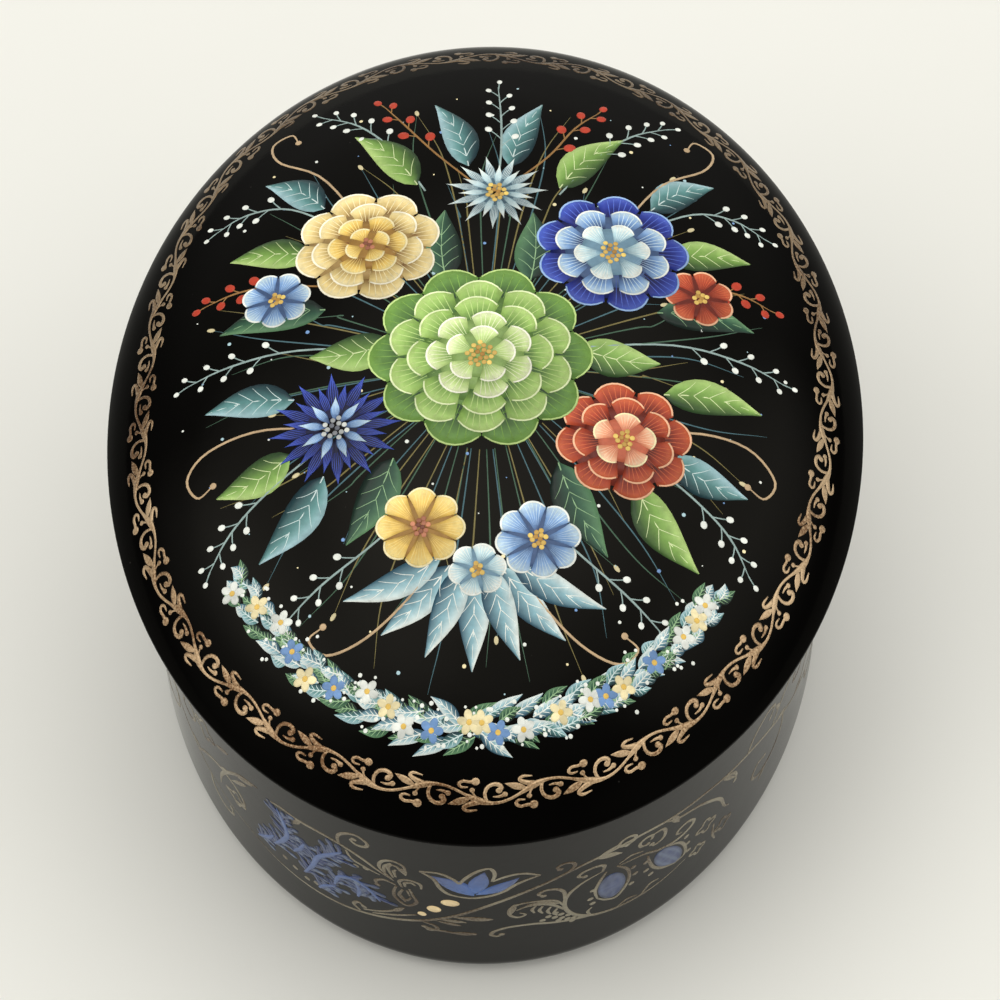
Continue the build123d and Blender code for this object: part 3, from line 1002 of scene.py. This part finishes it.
SPRAYS = [
    ([(0.5, 25), (0.8, 31), (0.6, 37), (0, 43)], 9, 2.4, 0.42),
    ([(-8, 25), (-12, 31.5), (-16.6, 36.4), (-21.5, 39)], 9, 2.4, 0.42),
    ([(8, 25), (12, 31), (16.4, 35.8), (21, 38.5)], 9, 2.4, 0.42),
    ([(17, 20), (24, 24.4), (29, 24.8), (33, 23)], 8, 2.2, 0.4),
    ([(-17, 19), (-24, 23.4), (-29.5, 23.6), (-33.5, 21.5)], 8, 2.2, 0.4),
    ([(10, 3), (22, 4.8), (30, 4), (35.5, 2.2)], 8, 2.2, 0.4),
    ([(-10, 2), (-22, 2.6), (-30, 1.4), (-35.5, -0.5)], 8, 2.2, 0.4),
    ([(18, -10), (24.5, -14.5), (29, -18.6), (31.5, -23)], 8, 2.2, 0.4),
    ([(-18, -10), (-24.5, -15.5), (-28.6, -20), (-31, -24.5)], 8, 2.2, 0.4),
    ([(7, -19), (12.5, -23.5), (18, -27.8), (22.5, -32)], 8, 2.2, 0.4),
    ([(-7, -18), (-12.5, -23), (-18, -27.4), (-22.5, -32)], 8, 2.2, 0.4),
]
BERRIES = [
    ([(2, 26), (6.5, 31), (9.6, 36.2), (12.5, 39.5)], 6, 1.8, 0.62),
    ([(-2, 26), (-7, 31), (-11, 36), (-14, 40)], 6, 1.8, 0.62),
    ([(20, 12.6), (25.5, 13.4), (30, 13.5), (33.8, 12.2)], 6, 1.7, 0.6),
    ([(-20, 11.4), (-25.5, 12), (-30, 11.7), (-34, 10.4)], 6, 1.7, 0.6),
]
TENDRILS = [
    [(18, -8), (25, -6.4), (31, -7.2), (34.2, -10.5), (33, -13), (31, -12)],
    [(-18, -8), (-26, -7.6), (-32, -9.5), (-34.2, -12.5), (-32.8, -15), (-31, -13.8)],
    [(15, 20), (20, 28), (25.2, 32), (26.4, 35.4), (24.2, 36.9), (23.2, 35.2)],
    [(-15, 20), (-20.6, 28), (-26, 31.6), (-27.2, 35), (-25, 36.5), (-24, 34.8)],
    [(4, -24), (8, -29.4), (12.4, -33.4), (16.6, -35), (18.8, -33.2), (17.2, -31.8)],
    [(-4, -24), (-8, -29.4), (-12.4, -33.4), (-16.6, -35), (-18.8, -33.2), (-17.2, -31.8)],
]
# Flowers from back to front: centre, level, rings of petals, then the heart
FLOWERS = [
    ((0.5, 25), 6, [
        (11, 0.6, 6.2, 0.2, 0.1, "blade", "white"), (11, 0.6, 4.6, 0.2, 0.38, "blade", "white"),
    ], (16, 1.3, "yellow")),
    ((-25, 10), 6, [(7, 0.4, 4.2, 0.42, 0.2, "fan", "sky")], (9, 0.9, "yellow")),
    ((25, 12), 6, [(7, 0.4, 4.2, 0.42, 0.5, "fan", "rust")], (9, 0.9, "yellow")),
    ((-6.5, -20.5), 6, [(8, 0.5, 5.2, 0.38, 0.0, "fan", "yellow")], (12, 1.1, "rust")),
    ((7, -21.5), 6, [(8, 0.5, 5.0, 0.38, 0.2, "fan", "sky")], (12, 1.1, "yellow")),
    ((0.2, -25.4), 7, [(6, 0.4, 3.4, 0.5, 0.25, "fan", "ice")], (8, 0.8, "yellow")),
    ((14.5, 17), 8, [
        (9, 1, 9.2, 0.33, 0.1, "fan", "blue"), (8, 1, 7, 0.34, 0.5, "fan", "sky"),
        (6, 0.8, 4.6, 0.38, 0.2, "fan", "ice"),
    ], (16, 1.5, "yellow")),
    ((-14.5, 17), 8, [
        (8, 1, 8.8, 0.38, 0.3, "fan", "cream"), (7, 1, 6.8, 0.4, 0.7, "fan", "cream"),
        (6, 0.6, 4.8, 0.44, 0.1, "fan", "yellow"), (4, 0.3, 2.8, 0.6, 0.5, "fan", "yellow"),
    ], (7, 0.8, "rust")),
    ((16.5, -8.5), 8, [
        (8, 1, 8, 0.37, 0.2, "fan", "rust"), (7, 0.8, 6, 0.4, 0.6, "fan", "rust"),
        (5, 0.6, 3.8, 0.5, 0.2, "fan", "salmon"),
    ], (12, 1.2, "yellow")),
    ((-17, -8), 8, [
        (12, 1.5, 7.8, 0.2, 0.1, "blade", "blue"), (12, 1.2, 6.2, 0.2, 0.36, "blade", "blue"),
        (9, 0.8, 4.4, 0.24, 0.2, "blade", "sky"),
    ], (14, 1.5, "white")),
    ((-0.5, 1.5), 14, [
        (10, 2, 13.2, 0.31, 0.05, "fan", "green"), (10, 2, 11, 0.3, 0.36, "fan", "lime"),
        (8, 1.5, 8.6, 0.36, 0.1, "fan", "lime"), (7, 1, 6.4, 0.4, 0.5, "fan", "pale"),
        (5, 0.6, 4.2, 0.5, 0.2, "fan", "pale"),
    ], (22, 1.7, "yellow")),
]
PETAL_TONES = {
    "white": (tone(70, 96, 110), ICE, WHITE, WHITE),
    "sky": (NAVY, SKY, tone(204, 226, 234), WHITE),
    "blue": (tone(10, 14, 50), ULTRAMARINE_DEEP, ULTRAMARINE, tone(150, 182, 226)),
    "ice": (tone(60, 100, 130), ICE, WHITE, WHITE),
    "cream": (tone(120, 84, 40), tone(232, 206, 136), CREAM, tone(255, 248, 222)),
    "yellow": (tone(110, 62, 22), YELLOW, tone(248, 226, 150), CREAM),
    "rust": (DEEP_RUST, RUST, tone(204, 104, 66), tone(240, 186, 148)),
    "salmon": (RUST, SALMON, tone(248, 214, 178), CREAM),
    "green": (MOSS, tone(92, 132, 62), GREEN, LIME),
    "lime": (tone(58, 92, 44), tone(146, 184, 92), LIME, tone(228, 240, 188)),
    "pale": (tone(96, 130, 62), LIME, tone(236, 242, 200), tone(252, 252, 230)),
}
HEART_TONES = {
    "yellow": (OCHRE, tone(252, 220, 120)),
    "rust": (DEEP_RUST, SALMON),
    "white": (NAVY, WHITE),
}
SWELLS = {"fan": fan_swell, "blade": blade_swell}


def garland_films(side):
    """One arm of the garland along the near edge: three rows of small leaves beside an oval line,
    which lean and shrink by sines of their number, then little five-petalled flowers and white dots
    on them."""
    turn = np.radians(np.linspace(-91, -33, 80))
    line = np.stack([side * 34.2 * np.cos(turn), 43 * np.sin(turn)], 1)
    for i in range(75):
        row = i % 3 - 1
        way = (line[i + 2] - line[i]) / np.linalg.norm(line[i + 2] - line[i])
        out = np.array([way[1], -way[0]])
        lean = 0.75 * math.sin(2.1 * i) + 0.5 * row
        length = (3.7 + 0.8 * math.sin(3.3 * i)) * (1.1 - 0.006 * i)
        base = line[i] + out * (0.9 * row + 0.4 * math.sin(5 * i))
        tip = base + (way * math.cos(lean) + out * math.sin(lean)) * length
        kind = ("ice", "teal", "ice", "dark")[(3 * i) % 4 if i % 5 else 3]
        yield from leaf_films(1 + i % 5, base, tip, 1.5, 0.3 * math.sin(i), LEAF_TONES[kind])
    for i in range(3, 74, 7):
        centre = line[i] + 0.9 * math.sin(2.9 * i)
        petals = CREAM if i % 3 == 0 else WHITE if i % 2 else SKY
        for k in range(5):
            turned = 1.257 * k + i
            petal = dab_grid(centre + 0.78 * unit(turned), (0.62, 0.46), turned)
            yield lid_mark(petal, petals * (0.75 + 0.06 * k), 8, 0.5)
        yield lid_mark(dab_grid(centre, 0.32), YELLOW, 10, 0.5)
    for i in range(70):
        spot = line[i] + 2.2 * np.array([math.sin(7.7 * i), math.cos(5.9 * i)])
        yield lid_mark(dab_grid(spot, 0.16 + 0.1 * math.sin(4.7 * i) ** 2), WHITE, 7, 0.5)


def grass_films(count=84):
    """Hair-fine grasses behind the bouquet: each goes out from its middle part to near the vine,
    bowed to one side, with length and bow by sines of its number; every fourth one ends in a seed."""
    colours = (tone(66, 96, 76), tone(70, 104, 112), tone(122, 112, 66))
    for i in range(count):
        turn = 2 * np.pi * i / count + 0.05 * math.sin(5 * i)
        way = np.array([math.cos(turn), 1.2 * math.sin(turn)])
        side = np.array([-way[1], way[0]]) * math.sin(1.9 * i)
        far = 28 + 5.5 * math.sin(2.7 * i)
        tip = way * far + 1.2 * side
        points = [way * 9 + side, way * 18 + 2.2 * side, way * (0.8 * far) + 2.6 * side, tip]
        yield lid_mark(brush_grid(points, [0.12, 0.2, 0.16, 0.04], 40), colours[i % 3], thin=0.3)
        if i % 4 == 0:
            yield lid_mark(dab_grid(tip, (0.5, 0.26), turn), CREAM * 0.7, thin=0.4)


def dust_films(count=150):
    """Fine dots on the black ground, set on a spiral that fills the oval, under everything else."""
    for i in range(count):
        place = (0, 2) + math.sqrt((i + 0.5) / count) * unit(DUST_TURN * i) * (36, 42)
        dot = dab_grid(place, 0.16 + 0.08 * math.sin(7.3 * i))
        yield lid_mark(dot, (WHITE, CREAM, ICE, SKY)[i % 4], thin=0.4)


def garland():
    """The garland along the near edge of the lid, in two arms that meet in the middle."""
    films = [*garland_films(-1), *garland_films(1)]
    add_paint("garland", films, "lid", COLOUR)


def bouquet_greens():
    """Grasses, dust, tendrils, sprays, berries and leaves, which lie under the flowers."""
    films = [*grass_films(), *dust_films()]
    for points in TENDRILS:
        films.append(lid_mark(tapered(points, 0.3, 0.8, 0.5), GOLD_TONE))
        films.append(lid_mark(dab_grid(points[-1], 0.4), GOLD_TONE))
    for spray in SPRAYS:
        films += spray_films(*spray, tone(150, 172, 168), WHITE)
    for spray in BERRIES:
        films += spray_films(*spray, tone(150, 110, 60), tone(186, 62, 40))
    for i, (kind, *leaf) in enumerate(BOUQUET_LEAVES):
        films += leaf_films(1 + i % 4, *leaf, LEAF_TONES[kind])
    add_paint("bouquet_greens", films, "lid", COLOUR)


def bouquet_flowers():
    """The flowers, from the small ones at the back to the large one in front."""
    films = []
    for centre, level, rings, (count, radius, kind) in FLOWERS:
        inner = [ring[2] for ring in rings[1:]] + [0]
        for (petals, start, reach, spread, turn, shape, colour), cover in zip(rings, inner):
            tones = PETAL_TONES[colour]
            if shape == "fan":
                ground = dab_grid(centre, (0.8 * reach, 0.74 * reach), 0, 9)
                films.append(lid_mark(ground, blend(tones[0], tones[1], 0.25), level, 0.3))
            covered = max((cover - start) / (reach - start), 0)
            ring = (petals, start, reach, spread, turn, SWELLS[shape])
            films += petal_films(centre, level, *ring, tones, covered)
            level += RING_LEVELS
        films += heart_films(centre, level, count, radius, HEART_TONES[kind])
    add_paint("bouquet_flowers", films, "lid", COLOUR)


lid_shell()
body_shell()
gold_border()
wall_paint()
garland()
bouquet_greens()
bouquet_flowers()
for node in ("neck_sleeve", "floor_board", "lid_lining"):
    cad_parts[node].data.materials.clear()
    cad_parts[node].data.materials.append(RED)


# Stage: a plain pale floor, soft light and the camera

# Light of the room along Y: where its slope starts and ends, and its strength there
ROOM_SLOPE = (-0.35, 0.75, 0.36, 0.15)

# The photograph's view: azimuth, elevation and roll in degrees, the place aimed at in millimetres on
# the level of the rim's foot, the distance in metres, and the lens as a multiple of the sensor's width
VIEW_ANGLES = (2.883, 62.472, -0.866)
VIEW_AIM = (1.62, -9.27)
VIEW_DISTANCE = 0.51635
VIEW_LENS = 4.35944
SENSOR = 36.0

FLOOR_SIZE = 6.0
WARM = (1.0, 0.985, 0.95)


def pale_floor():
    """A wide flat sheet of pale paper, with the faintest mottling."""
    finish, shader, add, _, grade = new_finish("pale_paper")
    mottle = add("ShaderNodeTexNoise", Scale=9.0, Detail=4.0)
    grade(mottle, "Fac", [(0.3, (0.80, 0.80, 0.755)), (0.7, (0.83, 0.83, 0.785))], shader, "Base Color")
    set_up(shader, Roughness=0.85)
    points = np.array([[-1, -1, 0], [1, -1, 0], [1, 1, 0], [-1, 1, 0]]) * FLOOR_SIZE / 2
    floor = add_mesh("floor", points, [np.array([[0, 1, 2, 3]])], np.zeros(1, bool))
    floor.data.materials.append(finish)


# Windows: bearing from the far end toward the right, height and half width in degrees, and strength
WINDOWS = [
    (10, 64, 32, 1.25),
    (0, 24, 60, 0.55),
    (-80, 62, 32, 1.2),
    (0, 88, 28, 1.0),
    (85, 40, 36, 1.3),
    (-105, 35, 36, 1.0),
    (-125, 14, 30, 0.6),
    (125, 14, 30, 0.8),
]
WINDOW_CORE = 8


def room():
    """A room as a soft light: dim, a little dimmer on the far side, and with the windows' glows."""
    world = bpy.data.worlds.new("room")
    bpy.context.scene.world = world
    world.use_nodes = True
    nodes, links = world.node_tree.nodes, world.node_tree.links
    coords = nodes.new("ShaderNodeTexCoord")
    split = nodes.new("ShaderNodeSeparateXYZ")
    links.new(coords.outputs["Generated"], split.inputs["Vector"])

    def slope(value, start, end, first, last):
        node = nodes.new("ShaderNodeMapRange")
        node.interpolation_type = "SMOOTHSTEP"
        for key, number in zip(("From Min", "From Max", "To Min", "To Max"), (start, end, first, last)):
            node.inputs[key].default_value = number
        links.new(value, node.inputs["Value"])
        return node.outputs["Result"]

    def glow(bearing, height, edge, strength):
        east, north = math.sin(math.radians(bearing)), math.cos(math.radians(bearing))
        level, up = unit(math.radians(height))
        node = nodes.new("ShaderNodeVectorMath")
        node.operation = "DOT_PRODUCT"
        links.new(coords.outputs["Generated"], node.inputs[0])
        node.inputs[1].default_value = (level * east, level * north, up)
        reach = np.cos(np.radians((edge, WINDOW_CORE)))
        return slope(node.outputs["Value"], *reach, 0.0, strength)

    strength = slope(split.outputs["Y"], *ROOM_SLOPE)
    for window in WINDOWS:
        node = nodes.new("ShaderNodeMath")
        links.new(strength, node.inputs[0])
        links.new(glow(*window), node.inputs[1])
        strength = node.outputs["Value"]
    links.new(strength, nodes["Background"].inputs["Strength"])
    nodes["Background"].inputs["Color"].default_value = (*WARM, 1)


def camera():
    """The photograph's view: from above the near end, a little to the right of it and a little
    rolled."""
    data = bpy.data.cameras.new("camera")
    holder = bpy.data.objects.new("camera", data)
    bpy.context.scene.collection.objects.link(holder)
    azimuth, elevation, roll = np.radians(VIEW_ANGLES)
    stand = Matrix.Rotation(azimuth, 4, "Z") @ Matrix.Translation(np.array([*VIEW_AIM, rim_foot]) * MM)
    tilt = Matrix.Rotation(math.pi / 2 - elevation, 4, "X") @ Matrix.Translation((0, 0, VIEW_DISTANCE))
    holder.matrix_world = stand @ tilt @ Matrix.Rotation(roll, 4, "Z")
    data.sensor_width = SENSOR
    data.lens = SENSOR * VIEW_LENS
    data.clip_start = 0.01
    bpy.context.scene.camera = holder


pale_floor()
room()
camera()
bpy.context.scene.view_settings.view_transform = "Standard"
